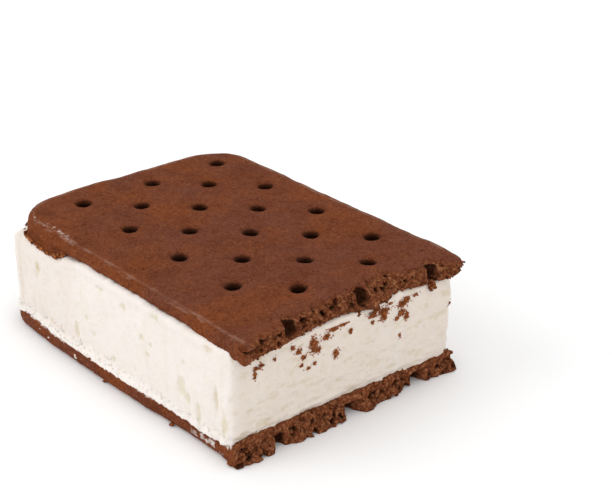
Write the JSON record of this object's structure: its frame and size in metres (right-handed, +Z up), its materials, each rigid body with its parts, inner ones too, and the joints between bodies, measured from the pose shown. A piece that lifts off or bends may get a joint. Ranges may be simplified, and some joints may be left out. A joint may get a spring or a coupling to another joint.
{
  "type": "ice cream sandwich",
  "caption": "Half of a rectangular ice cream sandwich: a block of vanilla ice cream between two docked chocolate wafers with rounded corners, snapped across its width with a jagged break",
  "frame": {"origin": "on the surface that it lies on, under the middle of its box", "axes": "+X along its length from the whole rounded end to the broken end, +Y across its width, +Z up through the layers"},
  "size_m": [0.0714, 0.0491, 0.0214],
  "materials": {
    "chocolate_wafer": "baked cocoa wafer, matt and finely grained, crumbly where it is torn",
    "vanilla_ice_cream": "firm frozen vanilla ice cream, warm white, smooth with a soft frosty surface"
  },
  "bodies": {
    "root": {"bottom_wafer": "chocolate_wafer", "ice_cream": "vanilla_ice_cream", "top_wafer": "chocolate_wafer"}
  },
  "joints": []
}
